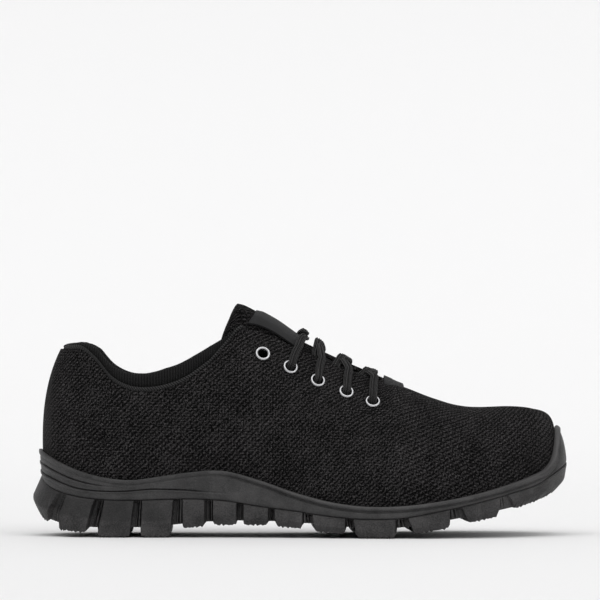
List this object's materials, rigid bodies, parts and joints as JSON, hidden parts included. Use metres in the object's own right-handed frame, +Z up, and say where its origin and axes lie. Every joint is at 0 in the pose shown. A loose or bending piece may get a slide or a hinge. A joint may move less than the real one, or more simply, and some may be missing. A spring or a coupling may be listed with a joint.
{
  "type": "safety sneaker",
  "caption": "Low-cut safety sneaker with a knitted upper, padded collar and tongue, laced throat, and a lugged rubber sole that wraps up over the toe.",
  "frame": {"origin": "on the floor under the middle of the sole's box", "axes": "+X towards the toe, +Z up, outer side of a right shoe towards -Y"},
  "size_m": [0.298, 0.1052, 0.129],
  "materials": {
    "knit": "near-black engineered knit",
    "midsole_foam": "dark grey moulded foam, fine stipple",
    "outsole_rubber": "dark grey moulded rubber, fine stipple",
    "collar_knit": "ribbed black knit over padding",
    "footbed_cloth": "dark cloth",
    "label_cloth": "plain smooth woven tape",
    "eyelet_metal": "satin silver",
    "lace_cord": "flat ribbed braid"
  },
  "bodies": {
    "root": {"outsole": "outsole_rubber", "midsole": "midsole_foam", "upper": "knit", "insole": "footbed_cloth", "tongue": "knit", "tongue_label": "label_cloth", "throat_tab": "label_cloth", "collar_lining": "collar_knit", "collar_piping": "collar_knit", "eyelet_lateral_1": "eyelet_metal", "eyelet_lateral_2": "eyelet_metal", "eyelet_lateral_3": "eyelet_metal", "eyelet_lateral_4": "eyelet_metal", "eyelet_lateral_5": "eyelet_metal", "eyelet_medial_1": "eyelet_metal", "eyelet_medial_2": "eyelet_metal", "eyelet_medial_3": "eyelet_metal", "eyelet_medial_4": "eyelet_metal", "eyelet_medial_5": "eyelet_metal", "lace_cross_1": "lace_cord", "lace_cross_2": "lace_cord", "lace_cross_3": "lace_cord", "lace_cross_4": "lace_cord"}
  },
  "joints": []
}
